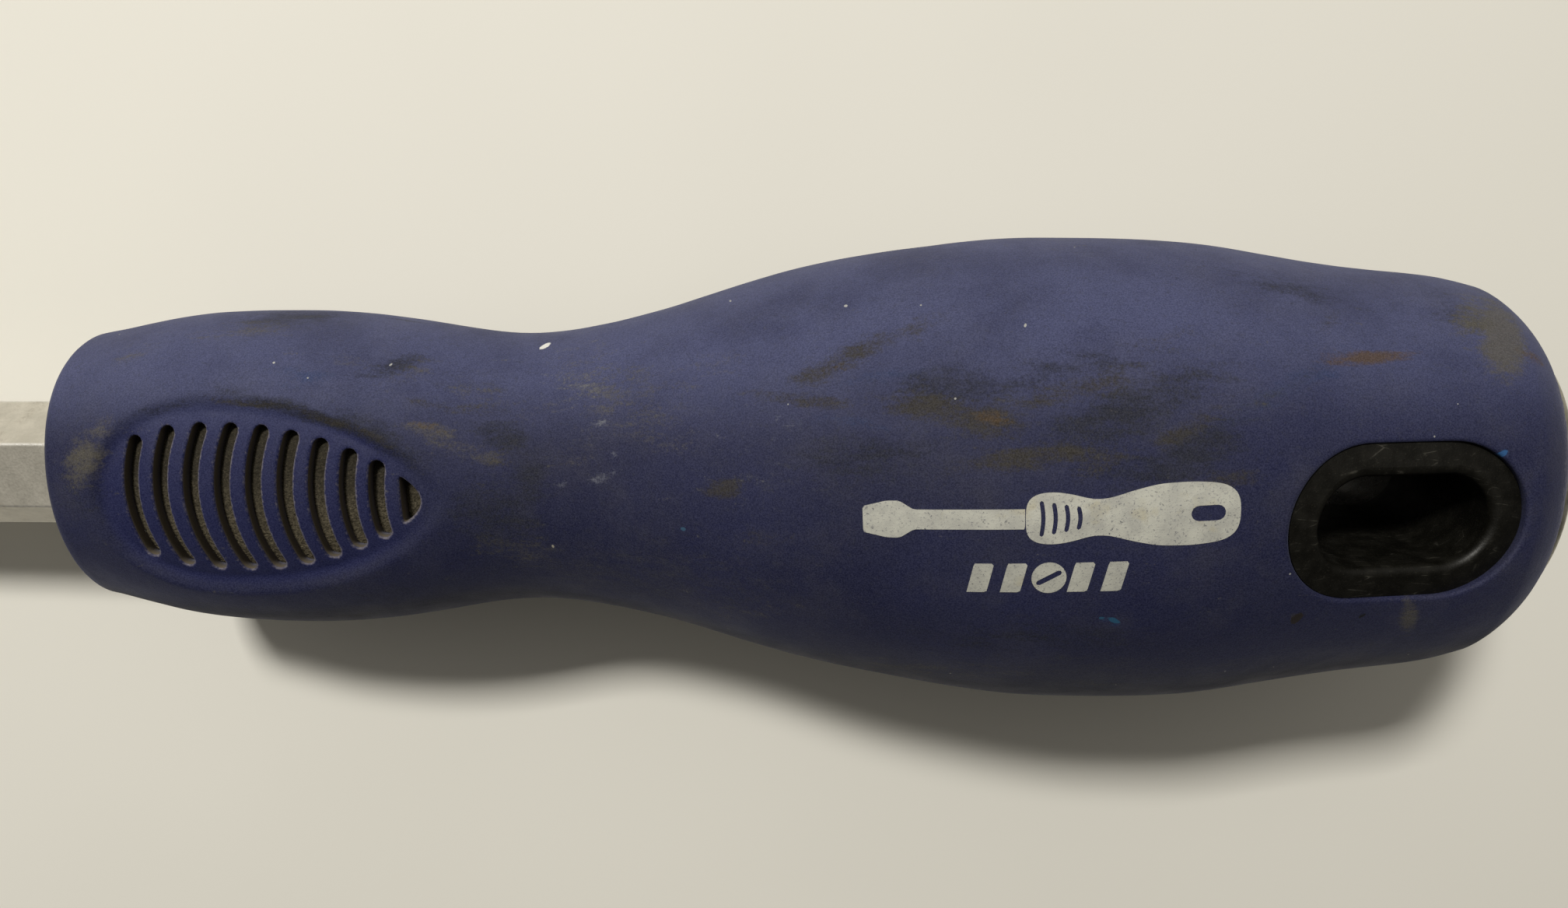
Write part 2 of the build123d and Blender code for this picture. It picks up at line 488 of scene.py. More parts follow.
MAIN = np.concatenate(
    [
        even(2.2, 4.6, 0.4)[:-1],
        even(4.6, 35.4, 0.4)[:-1],
        even(35.4, 93.0, 0.85)[:-1],
        even(93.0, 114.4, 0.45),
    ]
)
INNER = even(2.4, 114.2, 1.8)
WINDOW_LIP = 0.26
RING_LIP = 0.4
# First station, last station, half angle, and the radius that turns angles into lengths
RECESS_BLOCK = (7.0, 33.6, math.radians(41), 13.0)
RING_BLOCK = (93.8, 114.3, math.radians(33), 16.5)
CLEAR_OF_HOLES = 0.17
WEAR_SIDE = (0.55, -0.84)
WORN_DOWN_WALL = (0.15, 0.75, 0.9, 0.35, 0.0)
DUSTY_DOWN_WALL = (0.0, 0.0, 0.15, 0.7, 1.0)
SHOULDER_LEAVE = (3.4, -1.5)
SHOULDER_ARRIVE = (0, -3.8)
RAGGED = 0.16


def hex_reach(angle, apothem):
    """Distance from the axis to the blade's hexagon, which has flats at the top and the underside."""
    sector = math.pi / 3
    return apothem / np.cos((angle + sector / 2) % sector - sector / 2)


def end_row(station, radius, blend=0.0, ragged=0.0):
    """A ring of points at one of the grip's ends, blended from round to the blade's hexagon."""
    r = np.full(len(ANGLES), float(radius))
    if blend:
        r = (1 - blend) * r + blend * hex_reach(ANGLES, radius)
    if ragged:
        for i, a in enumerate(ANGLES):
            place = Vector((station, 11 * math.sin(a), 11 * math.cos(a)))
            r[i] += ragged * (noise.noise(place * 1.3) + 0.5 * noise.noise(place * 4))
    y = r * np.sin(ANGLES) + drift_at(station) * np.sin(ANGLES) ** 2
    x = FRONT + station + recede(station, ANGLES, np.minimum(r, FRONT_RADIUS))
    return np.column_stack([x, y, r * np.cos(ANGLES)])


def shoulder_rows():
    """Rings round the soft shoulder from the outline's end to the slightly ragged butt edge."""
    start, end = np.array(OUTLINE[-1]), np.array([BUTT - 0.04, BUTT_RADIUS + 0.3])
    leave, arrive = np.array(SHOULDER_LEAVE), np.array(SHOULDER_ARRIVE)
    rows = []
    for t in np.linspace(0, 1, 15)[1:]:
        p = (
            (2 * t**3 - 3 * t**2 + 1) * start
            + (t**3 - 2 * t**2 + t) * leave
            + (3 * t**2 - 2 * t**3) * end
            + (t**3 - t**2) * arrive
        )
        rows.append(end_row(p[0], p[1], ragged=RAGGED * smooth((t - 0.55) / 0.45)))
    for station, gap in ((117.86, 0.1), (117.6, 0.02), (CAP_SEAT, 0.02)):
        rows.append(end_row(station, BUTT_RADIUS + gap))
    return rows


def mark_window(shell, loop, wall):
    """Notes the worn lip of a window, palest at its -Y end and its butt side, and its dusty walls."""
    facing = (offset(loop, 1.0) - loop) @ np.array(WEAR_SIDE)
    for row, share in zip(wall, WORN_DOWN_WALL):
        for index, toward in zip(row, facing):
            shell.worn[index] = share * (0.45 + 0.35 * float(smooth((toward + 0.5) / 1.3)))
    for row, share in zip(wall, DUSTY_DOWN_WALL):
        for index in row:
            shell.dusty[index] = share


def front_rows():
    """Rings from the blade's hexagonal hole out over the front face and round its corner."""
    rows = [
        end_row(FRONT_WALL, HEX_HOLE, 1.0),
        end_row(0.6, HEX_HOLE, 1.0),
        end_row(0.25, HEX_HOLE + 0.05, 1.0),
        end_row(0.06, HEX_HOLE + 0.2, 1.0),
        end_row(0.0, HEX_HOLE + 0.45, 0.9),
        end_row(0.0, 6.6, 0.4),
        end_row(0.0, 7.8, 0.1),
    ]
    for turn in np.linspace(0, CORNER_TURN, 8):
        station = CORNER_SIZE[0] * (1 - math.cos(turn))
        rows.append(end_row(station, FRONT_RADIUS + CORNER_SIZE[1] * math.sin(turn)))
    return rows


def inner_rows():
    """Rings of the inner surface, against the hard body."""
    front_end, front_radius = INNER_FRONT
    rows = []
    for station in INNER:
        radius = radius_at(station) - WALL if station > front_end else front_radius
        rows.append(end_row(station, radius))
    rows.append(end_row(*INNER_END))
    return rows


def hole_edge(shell, loop, wall, lip_radius, reference, side, inward):
    """Where a hole's wall meets the outer or the inner surface: flat places and vertices."""
    if inward:
        edge, corners = loop, wall[-1]
        reach = radius_at(edge[:, 0]) - WALL
        angle = np.arcsin(np.array([shell.points[i][1] for i in corners]) / reach)
        angle = angle if side > 0 else math.pi - angle
    else:
        edge, corners = offset(loop, lip_radius), wall[0]
        angle = angle_of(edge[:, 0], edge[:, 1], side)
    places = np.column_stack([edge[:, 0], angle * reference])
    if side < 0:
        places, corners = places[::-1], corners[::-1]
    return places, corners


def patch_block(shell, surface, block, walls, lip_radius, side):
    """Closes one surface between its grid and the edges of its holes, within a block of the grid."""
    grid, stations, first, skip, inward = surface
    start, end, half_angle, reference = block
    middle = 0 if side > 0 else math.pi
    columns = np.flatnonzero(np.abs(ANGLES - middle) <= half_angle)
    rows = np.flatnonzero((stations >= start) & (stations <= end))
    low, high, left, right = rows[0], rows[-1], columns[0], columns[-1]
    skip[first + low : first + high, left:right] = True
    inner_places = np.array([(stations[i], ANGLES[j] * reference) for i in rows for j in columns])
    clear = np.ones(len(inner_places), bool)
    places, labels, holes = [], [], []
    for loop, wall in walls:
        shape, corners = hole_edge(shell, loop, wall, lip_radius, reference, side, inward)
        clear &= signed_distance(inner_places, shape) < -CLEAR_OF_HOLES
        holes.append(list(range(len(places), len(places) + len(corners))))
        places += shape.tolist()
        labels += list(corners)
    index_of = {}
    for k, (i, j) in enumerate((i, j) for i in rows for j in columns):
        on_rim = i in (low, high) or j in (left, right)
        if clear[k] or on_rim:
            index_of[i, j] = len(places)
            places.append(inner_places[k].tolist())
            labels.append(grid[first + i, j])
    rim = [index_of[i, left] for i in range(low, high)]
    rim += [index_of[high, j] for j in range(left, right)]
    rim += [index_of[i, right] for i in range(high, low, -1)]
    rim += [index_of[low, j] for j in range(right, left, -1)]
    shell.patch(places, labels, rim, holes, inward)


def build_grip():
    """The soft skin: a closed shell with thumb recesses, their windows, and an opening at each ring."""
    shell = Shell()
    front = front_rows()
    main = [skin(np.full(len(ANGLES), s), ANGLES) for s in MAIN]
    outer = np.array([shell.add(row) for row in front + main + shoulder_rows()])
    inner = np.array([outer[0]] + [shell.add(row) for row in inner_rows()] + [outer[-1]])
    skip_outer = np.zeros(outer.shape, bool)
    skip_inner = np.zeros(inner.shape, bool)
    surfaces = (
        (outer, MAIN, len(front), skip_outer, False),
        (inner, INNER, 1, skip_inner, True),
    )
    for side in (1, -1):
        openings = (
            (RECESS_BLOCK, window_loops(), WINDOW_LIP, 3),
            (RING_BLOCK, [offset(ring_loop(), RING_CLEARANCE)], RING_LIP, 4),
        )
        for block, loops, lip_radius, steps in openings:
            walls = []
            for loop in loops:
                wall = [shell.add(row) for row in lip(loop, side, lip_radius, steps)]
                walls.append((loop, wall))
                if block == RECESS_BLOCK:
                    mark_window(shell, loop, wall)
            for loop, wall in walls:
                shell.quads(np.array(wall), inward=side > 0)
            for surface in surfaces:
                patch_block(shell, surface, block, walls, lip_radius, side)
    shell.quads(outer, skip=skip_outer)
    shell.quads(inner, skip=skip_inner, inward=True)
    return shell


shell = build_grip()
grip = new_object("grip_skin", shell.points, shell.faces)
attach(grip, "root")
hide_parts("grip")

# Printed mark: a flat-blade screwdriver, a slotted screw head and a row of bars

PRINT_STATION = 79.0
PRINT_Y = 0.95
PRINT_TILT = math.radians(2.5)
INK = 0.03
INK_ROOT = 0.08
FILL_SPACING = 0.7
CLEAR_OF_OUTLINES = 0.16
RIBS = 4
BARS = 5
BAR_PITCH = 2.35
FIRST_BAR = -4.7


def disc(u, v, radius, count=40):
    """A circle as a loop of points."""
    turn = np.arange(count) * 2 * math.pi / count
    return np.column_stack([u + radius * np.cos(turn), v + radius * np.sin(turn)])


def mirrored(upper):
    """An anticlockwise loop from its upper half, given from the butt end to the tip end."""
    upper = np.array(upper)
    lower = upper[::-1] * (1, -1)
    return np.vstack([upper, lower])


def mark_loops():
    """The mark's outlines, and the holes in them, in its own flat coordinates."""
    blade_form = mirrored(((-0.9, 0.72), (-8.6, 0.72), (-9.6, 1.35), (-10.5, 1.35), (-12.2, 0.95)))
    handle_form = mirrored(
        (
            (13.2, 0.9),
            (12.9, 1.6),
            (12.0, 2.05),
            (10.0, 2.25),
            (7.6, 2.2),
            (5.6, 1.75),
            (4.2, 1.3),
            (3.0, 1.25),
            (1.8, 1.65),
            (0.4, 1.9),
            (-0.9, 1.8),
            (-1.6, 1.3),
        )
    )
    loops = [resampled(blade_form + (-0.75, 0), 0.3), rounded(resampled(handle_form, 0.3), 6)]
    hole = np.column_stack([np.linspace(10.3, 11.6, 7), np.zeros(7)])
    loops.append(resampled(capsule(hole, 0.55), 0.25))
    for k in range(RIBS):
        bow = 0.25 * np.cos(np.linspace(-1, 1, 7))
        rib = np.column_stack([bow - 0.65 + 0.85 * k, np.linspace(-1, 1, 7) * (1.15 - 0.15 * k)])
        loops.append(resampled(capsule(rib, 0.15, 4), 0.2))
    for k in range(BARS):
        u = FIRST_BAR + BAR_PITCH * k
        if k == BARS // 2:
            loops.append(disc(u + 0.1, -4.45, 1.22))
            slit = np.column_stack([np.linspace(u - 0.6, u + 0.8, 7), np.linspace(-4.85, -4.05, 7)])
            loops.append(resampled(capsule(slit, 0.2, 4), 0.2))
        else:
            bar = np.array([(u - 0.95, -5.6), (u + 0.45, -5.6), (u + 0.95, -3.3), (u - 0.45, -3.3)])
            loops.append(resampled(bar, 0.3))
    return loops


def build_mark():
    """The ink as thin closed plates that follow the grip's surface."""
    cosine, sine = math.cos(PRINT_TILT), math.sin(PRINT_TILT)
    turned = np.array([[cosine, sine], [-sine, cosine]])
    loops = [loop @ turned + (PRINT_STATION, PRINT_Y) for loop in mark_loops()]
    places, edges = [], []
    for loop in loops:
        first, count = len(places), len(loop)
        places += loop.tolist()
        edges += [(first + k, first + (k + 1) % count) for k in range(count)]
    (u_low, v_low), (u_high, v_high) = np.min(places, axis=0), np.max(places, axis=0)
    across = even(v_low, v_high, FILL_SPACING)
    fill = np.array([(u, v) for u in even(u_low, u_high, FILL_SPACING) for v in across])
    gaps = np.array([signed_distance(fill, loop) for loop in loops])
    inside = (gaps > 0).sum(axis=0) % 2 == 1
    clear = np.abs(gaps).min(axis=0) > CLEAR_OF_OUTLINES
    places += fill[inside & clear].tolist()
    found = delaunay_2d_cdt([Vector(p) for p in places], edges, [], 0, 1e-7, True)
    flat = np.array([tuple(v) for v in found[0]])
    triangles = [tuple(t) for t in found[2]]
    centres = np.array([flat[list(t)].mean(axis=0) for t in triangles])
    parity = sum((signed_distance(centres, loop) > 0).astype(int) for loop in loops) % 2
    triangles = [t for t, odd in zip(triangles, parity) if odd]
    angle = angle_of(flat[:, 0], flat[:, 1], 1)
    surface = skin(flat[:, 0], angle)
    top, bottom = surface.copy(), surface.copy()
    top[:, 2] += INK
    bottom[:, 2] -= INK_ROOT
    count = len(flat)
    faces = list(triangles)
    faces += [tuple(i + count for i in t[::-1]) for t in triangles]
    sides = {}
    for t in triangles:
        for a, b in zip(t, t[1:] + t[:1]):
            sides[a, b] = True
    for a, b in sides:
        if (b, a) not in sides:
            faces.append((b, a, a + count, b + count))
    used = sorted({i for f in faces for i in f})
    renumber = {old: new for new, old in enumerate(used)}
    points = np.vstack([top, bottom])[used]
    return points, [tuple(renumber[i] for i in f) for f in faces]


mark_points, mark_faces = build_mark()
mark = new_object("printed_mark", mark_points, mark_faces)
mark.data.set_sharp_from_angle(angle=math.radians(40))
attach(mark, "root")

# Wear and dirt, with painted shade and painted sheen, as values on the grip's vertices

SMEARS = {
    "tan": (
        # Station, y, face (1 top, -1 underside), length, width, turn in degrees, strength
        (5.4, 3.0, 1, 2.6, 1.8, 60, 0.9),
        (6.9, 5.2, 1, 2.2, 1.0, 40, 0.7),
        (33.2, 5.0, 1, 2.6, 1.0, -25, 0.75),
        (36.4, 3.6, 1, 2.4, 0.9, -15, 0.7),
        (30.8, 9.3, 1, 3.4, 1.0, 20, 0.45),
        (36.0, 7.6, 1, 3.5, 0.8, -5, 0.5),
        (48.5, 7.3, 1, 7.0, 3.0, -20, 0.5),
        (44.0, 9.6, 1, 3.6, 2.2, 0, 0.45),
        (54.0, 10.0, 1, 4.0, 1.6, 10, 0.4),
        (45.0, 3.8, 1, 4.2, 1.8, 10, 0.36),
        (36.4, 1.2, 1, 1.5, 0.5, -25, 0.5),
        (41.0, 6.6, 1, 2.6, 0.7, 15, 0.45),
        (26.6, 9.9, 1, 3.0, 0.5, -14, 0.5),
        (112.6, 12.3, 1, 2.9, 2.0, 60, 1.35),
        (110.9, 13.8, 1, 2.8, 1.2, 30, 0.75),
        (106.6, -7.6, 1, 2.2, 0.8, -70, 1.0),
        (16.5, 12.3, 1, 5.5, 0.7, 5, 0.55),
        (8.0, 10.6, 1, 3.0, 1.0, 20, 0.45),
        (72.0, -13.4, 1, 9.0, 1.6, 6, 0.5),
        (84.0, -14.6, 1, 5.0, 1.1, 3, 0.4),
        (58.0, -8.6, 1, 6.0, 1.6, 12, 0.36),
        (39.0, -4.6, 1, 5.0, 2.2, -10, 0.36),
    ),
    "brown": (
        (65.6, 11.6, 1, 3.0, 1.0, 25, 0.85),
        (63.0, 10.3, 1, 2.6, 0.9, 18, 0.9),
        (69.5, 13.2, 1, 3.4, 0.9, 22, 0.55),
        (62.0, 8.4, 1, 5.5, 0.55, -3, 0.8),
        (70.6, 8.1, 1, 4.2, 1.3, -4, 0.95),
        (74.6, 7.5, 1, 3.6, 1.4, -6, 0.9),
        (77.6, 5.2, 1, 5.5, 1.1, 8, 0.9),
        (82.5, 4.7, 1, 3.6, 0.8, 25, 0.5),
        (55.9, 1.9, 1, 1.7, 0.85, 12, 1.1),
        (34.2, 7.0, 1, 4.2, 0.7, -8, 0.5),
        (37.2, 6.6, 1, 2.0, 0.6, -5, 0.5),
        (93.0, 8.6, 1, 6.5, 0.6, 22, 0.5),
        (97.7, -7.1, 1, 0.55, 0.45, 60, 1.1),
        (60.0, -1.6, 1, 3.6, 0.8, -4, 0.42),
        (86.5, 12.8, 1, 4.0, 0.6, 12, 0.4),
        (99.6, 13.6, 1, 1.4, 0.5, 20, 0.6),
        (24.6, 6.3, 1, 4.2, 0.5, -18, 0.8),
        (19.6, 7.3, 1, 4.4, 0.45, -6, 0.7),
        (28.6, 4.9, 1, 3.0, 0.5, -30, 0.75),
        (38.0, 3.0, 1, 2.2, 1.2, 20, 0.45),
        (80.5, 9.6, 1, 5.0, 1.0, 12, 0.85),
        (88.5, 7.2, 1, 4.0, 0.9, 30, 0.8),
        (91.0, 3.6, 1, 3.0, 0.9, 10, 0.75),
        (23.0, -11.8, 1, 2.4, 1.0, 10, 0.6),
    ),
    "dark": (
        # Painted shade: the first, second and fourth marks lie along the recess's upper rim, where its
        # wall shades the rubber.
        (23.5, 6.6, 1, 8.0, 0.75, -15, 1.0),
        (28.8, 5.0, 1, 4.5, 1.2, -30, 0.95),
        (29.0, 9.7, 1, 3.2, 0.8, 10, 0.8),
        (11.5, 6.9, 1, 5.0, 0.6, 14, 0.6),
        (21.0, -13.2, 1, 9.0, 1.6, -3, 0.6),
        (27.5, -8.3, 1, 4.5, 1.1, 12, 0.55),
        (37.5, -1.0, 1, 4.5, 4.0, 0, 0.75),
        (40.5, 1.8, 1, 1.8, 3.2, 0, 0.75),
        (19.0, 13.0, 1, 5.0, 0.7, 0, 0.8),
        (66.0, 4.6, 1, 6.0, 2.0, 5, 0.7),
        (84.0, 8.0, 1, 9.0, 2.2, 20, 0.8),
        (86.0, 4.4, 1, 5.0, 1.6, 10, 0.8),
        (97.0, 15.8, 1, 6.5, 0.9, -12, 0.6),
        (110.5, 13.6, 1, 3.2, 1.6, -20, 0.6),
        (102.8, -7.3, 1, 0.35, 0.2, 30, 1.2),
        (108.0, -9.6, 1, 5.0, 1.6, 15, 0.45),
        (78.0, -9.0, 1, 12.0, 2.2, 3, 0.6),
        (5.0, 1.0, 1, 2.2, 3.4, 0, 0.5),
        (80.0, 10.6, 1, 7.0, 1.8, 12, 0.65),
        (89.0, 5.6, 1, 4.5, 2.0, 25, 0.9),
        (72.0, 9.6, 1, 5.0, 1.5, 5, 0.8),
        (38.5, 4.6, 1, 3.0, 1.6, -20, 0.8),
    ),
    "ash": (
        (48.0, -6.6, 1, 15.0, 4.2, 5, 0.62),
        (38.0, -3.6, 1, 4.0, 2.6, 0, 0.5),
        (47.5, 8.0, 1, 5.0, 3.0, 0, 0.5),
        (15.0, -10.8, 1, 11.0, 2.6, 0, 0.5),
        (82.0, -13.6, 1, 26.0, 3.4, 2, 0.75),
        (61.0, 3.0, 1, 6.0, 2.4, 8, 0.4),
        (86.0, 9.0, 1, 8.0, 3.0, 20, 0.5),
        (36.0, 8.2, 1, 5.0, 1.4, -10, 0.5),
    ),
    "rust": (
        (101.7, 11.3, 1, 3.6, 0.5, 2, 1.1),
        (99.2, 11.6, 1, 2.0, 0.35, -10, 0.55),
        (75.0, 7.6, 1, 1.6, 0.6, -8, 0.65),
        (64.0, 10.6, 1, 1.3, 0.45, 10, 0.5),
        (114.6, 10.9, 1, 1.4, 0.5, -20, 0.7),
        (32.6, 5.6, 1, 1.6, 0.45, -20, 0.5),
    ),
    "scuff": (
        (46.1, 6.0, 1, 0.75, 0.5, 40, 0.62),
        (47.3, 3.9, 1, 0.8, 0.55, -30, 0.7),
        (46.2, 1.9, 1, 1.3, 0.5, 15, 0.62),
        (47.6, 2.3, 1, 0.5, 0.6, 0, 0.6),
        (43.0, 1.3, 1, 0.8, 0.25, 50, 0.5),
        (43.5, 9.0, 1, 5.5, 3.0, 0, 0.24),
        (57.0, 5.0, 1, 6.0, 4.0, 0, 0.2),
    ),
    "blue": (
        # Painted sheen: the first three marks, above the ring, lighten the rubber to a teal blue.
        (95.0, 9.6, 1, 8.0, 0.7, 22, 0.55),
        (92.0, 7.9, 1, 8.0, 0.6, 20, 0.5),
        (98.6, 10.3, 1, 2.6, 0.5, 10, 0.6),
        (111.0, 4.85, 1, 0.55, 0.4, 30, 0.9),
        (84.2, -7.2, 1, 0.9, 0.35, -20, 1.0),
        (66.0, 7.0, 1, 6.0, 0.6, -3, 0.5),
        (67.5, 10.2, 1, 4.0, 0.8, 15, 0.5),
        (22.5, 9.2, 1, 3.0, 0.9, -5, 0.6),
        (52.7, -1.5, 1, 0.5, 0.3, 0, 0.7),
    ),
}
UNSEEN_SMEARS = 110
UNSEEN_STRENGTH = 0.8
UNSEEN_KINDS = ("tan", "brown", "dark", "ash", "ash", "rust", "blue", "scuff")
SEED = 11


def unseen_smears(kinds):
    """Made-up smears for the sides and the underside.

    Each has its kind, station, angle, length, width, turn and strength.
    """
    draw = np.random.default_rng(SEED)
    found = []
    for _ in range(UNSEEN_SMEARS):
        kind = kinds[draw.integers(len(kinds))]
        size = draw.uniform(0.8, 5.5)
        found.append(
            (
                kind,
                draw.uniform(4, 115),
                draw.uniform(math.radians(80), math.radians(280)),
                size,
                size * draw.uniform(0.2, 0.5),
                draw.uniform(-35, 35),
                draw.uniform(0.4, 0.9),
            )
        )
    return found


def patch_of(along, across, length, width, turn, strength):
    """A soft oval's strength at places given relative to its middle."""
    cosine, sine = math.cos(math.radians(turn)), math.sin(math.radians(turn))
    u = (along * cosine + across * sine) / length
    v = (across * cosine - along * sine) / width
    return strength * np.exp(-((u * u + v * v) ** 1.3))


def paint_grip(points):
    """Vertex values from 0 to 1 for each kind of mark."""
    station, y, z = points[:, 0] - FRONT, points[:, 1], points[:, 2]
    angle = np.arctan2(y, z) % (2 * math.pi)
    radius = np.hypot(y, z)
    paint = {}
    for kind, rows in SMEARS.items():
        value = np.zeros(len(points))
        for at, across, face, length, width, turn, strength in rows:
            spot = patch_of(station - at, y - across, length, width, turn, strength)
            value = np.maximum(value, np.where(z * face > 0, spot, 0))
        paint[kind] = value
    for kind, at, around, length, width, turn, strength in unseen_smears(UNSEEN_KINDS):
        across = (angle - around) * radius
        spot = patch_of(station - at, across, length, width, turn, UNSEEN_STRENGTH * strength)
        paint[kind] = np.maximum(paint[kind], spot)
    base_y = radius_at(station) * np.sin(angle)
    paint["hollow"] = np.clip(sink(station, base_y) / RECESS_DEPTH, 0, 1)
    paint["worn"] = np.zeros(len(points))
    paint["dusty"] = np.zeros(len(points))
    for name, marks in (("worn", shell.worn), ("dusty", shell.dusty)):
        for index, value in marks.items():
            paint[name][index] = value
    # Painted sheen: the +Y flank is lighter, standing in for the light it reflects.
    paint["painted_flank_sheen"] = smooth((np.sin(angle) - 0.28) / 0.5) * smooth((np.cos(angle) + 0.5) / 0.5)
    edge = smooth((station - 115.5) / 2.2)
    paint["worn"] = np.maximum(paint["worn"], 0.55 * edge)
    paint["dusty"] = np.maximum(paint["dusty"], 0.5 * smooth((station - 117.2) / 0.7))
    return paint


for name, values in paint_grip(np.array(shell.points)).items():
    attribute = grip.data.attributes.new(name, "FLOAT", "POINT")
    attribute.data.foreach_set("value", values.astype(np.float32))

# Materials


class Finish:
    """Short ways to make a material's nodes. Sizes are in millimetres."""

    def __init__(self, name, roughness=0.5, metallic=0.0):
        self.material = bpy.data.materials.new(name)
        self.material.use_nodes = True
        self.tree = self.material.node_tree
        self.shader = self.tree.nodes["Principled BSDF"]
        self.shader.inputs["Metallic"].default_value = metallic
        self.shader.inputs["Roughness"].default_value = roughness
        self.place = self.node("ShaderNodeTexCoord").outputs["Object"]

    def node(self, kind, inputs=(), **settings):
        made = self.tree.nodes.new(kind)
        for key, value in settings.items():
            setattr(made, key, value)
        for key, value in dict(inputs).items():
            if isinstance(value, bpy.types.NodeSocket):
                self.tree.links.new(value, made.inputs[key])
            else:
                made.inputs[key].default_value = value
        return made

    def moved(self, shift=0.0, stretch=(1, 1, 1), turn=(0, 0, 0)):
        inputs = {"Vector": self.place, "Location": (shift,) * 3, "Scale": stretch, "Rotation": turn}
        return self.node("ShaderNodeMapping", inputs).outputs["Vector"]

    def noise(self, size, detail=3, roughness=0.55, place=None, distortion=0.0):
        inputs = {
            "Vector": place or self.place,
            "Scale": 1 / (size * MM),
            "Detail": detail,
            "Roughness": roughness,
            "Distortion": distortion,
        }
        return self.node("ShaderNodeTexNoise", inputs).outputs["Fac"]

    def cells(self, size, place=None, feature="F1"):
        inputs = {"Vector": place or self.place, "Scale": 1 / (size * MM)}
        return self.node("ShaderNodeTexVoronoi", inputs, feature=feature).outputs["Distance"]

    def math(self, operation, a, b=0.0):
        return self.node("ShaderNodeMath", {0: a, 1: b}, operation=operation).outputs[0]

    def times(self, a, b):
        return self.math("MULTIPLY", a, b)

    def plus(self, a, b):
        return self.math("ADD", a, b)

    def minus(self, a, b):
        return self.math("SUBTRACT", a, b)

    def step(self, value, low, high, bottom=0.0, top=1.0):
        inputs = {"Value": value, "From Min": low, "From Max": high, "To Min": bottom, "To Max": top}
        return self.node("ShaderNodeMapRange", inputs, interpolation_type="SMOOTHSTEP").outputs["Result"]

    def mix(self, factor, a, b, blend="MIX"):
        made = self.node("ShaderNodeMix", data_type="RGBA", blend_type=blend)
        for index, value in ((0, factor), (6, a), (7, b)):
            if isinstance(value, bpy.types.NodeSocket):
                self.tree.links.new(value, made.inputs[index])
            elif index:
                made.inputs[index].default_value = (*value, 1)
            else:
                made.inputs[index].default_value = value
        return made.outputs[2]

    def spot(self, station, y, z, length, width, turn, wobble=0.25):
        """A crisp small mark on the surface near a point."""
        inputs = {
            "Vector": self.place,
            "Location": ((FRONT + station) * MM, y * MM, z * MM),
            "Rotation": (0, 0, math.radians(turn)),
            "Scale": (length * MM, width * MM, 4 * MM),
        }
        mapped = self.node("ShaderNodeMapping", inputs, vector_type="TEXTURE").outputs["Vector"]
        reach = self.node("ShaderNodeVectorMath", {0: mapped}, operation="LENGTH").outputs["Value"]
        uneven = self.times(self.minus(self.noise(0.35, 3, 0.6), 0.5), 4 * wobble)
        return self.step(self.plus(reach, uneven), 1.15, 0.85)

    def painted(self, name):
        return self.node("ShaderNodeAttribute", attribute_name=name).outputs["Fac"]

    def station(self):
        along = self.node("ShaderNodeSeparateXYZ", {"Vector": self.place}).outputs["X"]
        return self.minus(self.times(along, 1 / MM), FRONT)

    def bump(self, height, strength, distance, before=None):
        inputs = {"Height": height, "Strength": strength, "Distance": distance * MM}
        if before is not None:
            inputs["Normal"] = before
        return self.node("ShaderNodeBump", inputs).outputs["Normal"]

    def done(self, colour, roughness=None, normal=None):
        self.tree.links.new(colour, self.shader.inputs["Base Color"])
        if roughness is not None:
            self.tree.links.new(roughness, self.shader.inputs["Roughness"])
        if normal is not None:
            self.tree.links.new(normal, self.shader.inputs["Normal"])
        return self.material


def give(thing, material):
    thing.data.materials.clear()
    thing.data.materials.append(material)


SPOTS = (
    # Station, y, z, half length, half width and turn in degrees, then the colour
    ((40.4, 10.85, 3.8, 0.42, 0.15, 22), (0.60, 0.60, 0.58)),
    ((20.1, 10.2, 8.7, 0.10, 0.07, 0), (0.34, 0.34, 0.33)),
    ((29.0, 9.9, 7.8, 0.11, 0.07, 30), (0.30, 0.30, 0.29)),
    ((41.8, -3.9, 10.9, 0.09, 0.13, 10), (0.30, 0.28, 0.22)),
    ((55.6, 14.5, 2.9, 0.10, 0.06, 0), (0.26, 0.26, 0.26)),
    ((64.7, 14.6, 8.8, 0.13, 0.08, 10), (0.30, 0.30, 0.30)),
    ((77.5, 13.6, 13.1, 0.12, 0.08, 60), (0.30, 0.30, 0.29)),
    ((102.9, -7.3, 15.2, 0.30, 0.12, 40), (0.006, 0.006, 0.006)),
    ((97.8, -7.2, 16.5, 0.55, 0.36, 60), (0.016, 0.012, 0.008)),
    ((111.0, 4.87, 15.2, 0.40, 0.22, 35), (0.022, 0.075, 0.19)),
    ((84.3, -7.0, 17.7, 0.50, 0.20, -25), (0.018, 0.075, 0.14)),
    ((83.4, -6.8, 17.8, 0.20, 0.13, 0), (0.02, 0.065, 0.12)),
    ((52.6, -1.5, 13.9, 0.20, 0.14, 0), (0.03, 0.07, 0.12)),
)


